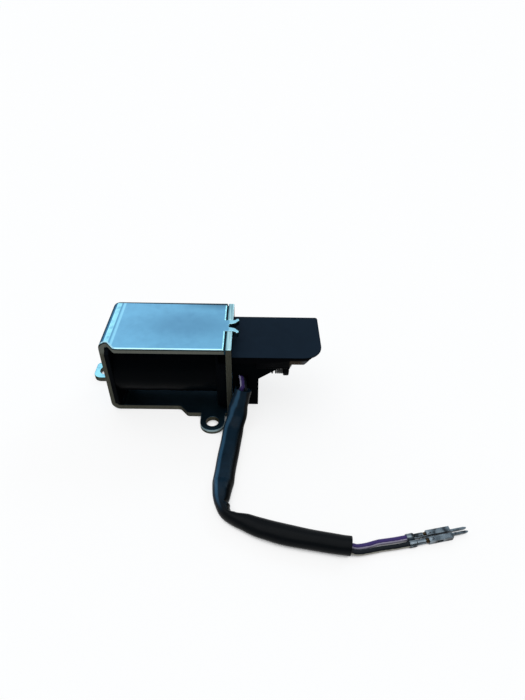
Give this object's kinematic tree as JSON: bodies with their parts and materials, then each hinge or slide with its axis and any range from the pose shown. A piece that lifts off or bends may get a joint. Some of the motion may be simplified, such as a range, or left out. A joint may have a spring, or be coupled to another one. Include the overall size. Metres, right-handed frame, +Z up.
{
  "type": "shift lock solenoid",
  "caption": "Open-frame pull solenoid with a spring-loaded lock bolt at one end, drilled mounting ears and sleeved leads that end in crimped pin terminals.",
  "frame": {"origin": "middle of the frame's underside, on the plane that is screwed down", "axes": "+X along the bolt, out of the end plate; +Y away from the front ear; +Z up through the frame"},
  "size_m": [0.128, 0.082, 0.032],
  "materials": {
    "zinc_steel": "blue zinc plate",
    "black_nylon": "matt moulded",
    "copper": "enamelled copper wire",
    "coil_tape": "black tape",
    "brass": "drawn tube",
    "bare_steel": "turned",
    "rubber": "moulded",
    "bolt_nylon": "satin moulded",
    "spring_steel": "drawn wire",
    "tinned_brass": "tin plate",
    "black_vinyl": "soft vinyl sleeve",
    "violet_vinyl": "wire insulation",
    "black_lead_vinyl": "wire insulation"
  },
  "bodies": {
    "frame": {"yoke_frame": "zinc_steel", "end_plate": "zinc_steel", "bobbin": "black_nylon", "coil_winding": "copper", "coil_wrap": "coil_tape", "guide_sleeve": "brass", "fixed_core": "bare_steel", "pull_damper": "rubber", "nose_guide": "black_nylon", "return_spring": "spring_steel", "coil_pins": "tinned_brass", "wire_grommet": "rubber", "wire_sheath": "black_vinyl", "violet_lead": "violet_vinyl", "black_lead": "black_lead_vinyl", "violet_terminal": "tinned_brass", "black_terminal": "tinned_brass"},
    "bolt": {"plunger": "bare_steel", "rest_damper": "rubber", "lock_bolt": "bolt_nylon"}
  },
  "joints": [
    {"name": "bolt_slide", "type": "slide", "parent": "frame", "child": "bolt", "axis": [-1, 0, 0], "range_m": [0, 0.0035], "stiffness_N_per_m": 350, "springref_m": -0.004, "deforming": ["return_spring"]}
  ]
}
